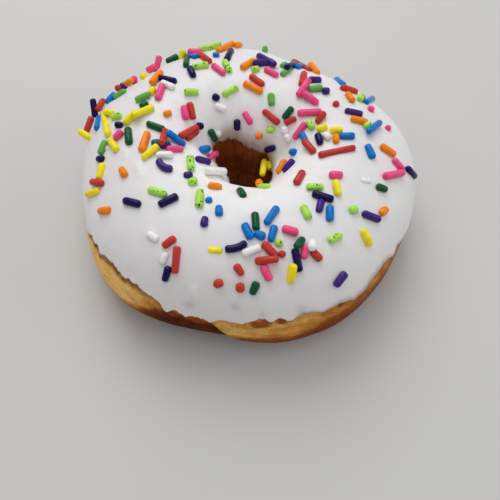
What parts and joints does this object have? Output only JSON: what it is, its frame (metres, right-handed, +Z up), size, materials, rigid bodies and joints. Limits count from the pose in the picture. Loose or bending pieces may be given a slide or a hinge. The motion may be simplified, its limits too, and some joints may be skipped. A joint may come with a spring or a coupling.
{
  "type": "sprinkle frosted doughnut",
  "caption": "Fried ring doughnut with an uneven round outline, a small hole and a layer of white frosting over its top that ends in a wavy edge.",
  "frame": {"origin": "under the middle of the part's box, on the plane that it rests on", "axes": "+Z up out of the frosted top, +X to the doughnut's right, -Y to its front, where the lap of the dough shows"},
  "size_m": [0.0954, 0.0938, 0.0319],
  "materials": {
    "dough": "matte fried crust, golden brown with a paler band round the middle",
    "frosting": "satin white frosting"
  },
  "bodies": {
    "root": {"dough_ring": "dough", "frosting": "frosting"}
  },
  "joints": []
}
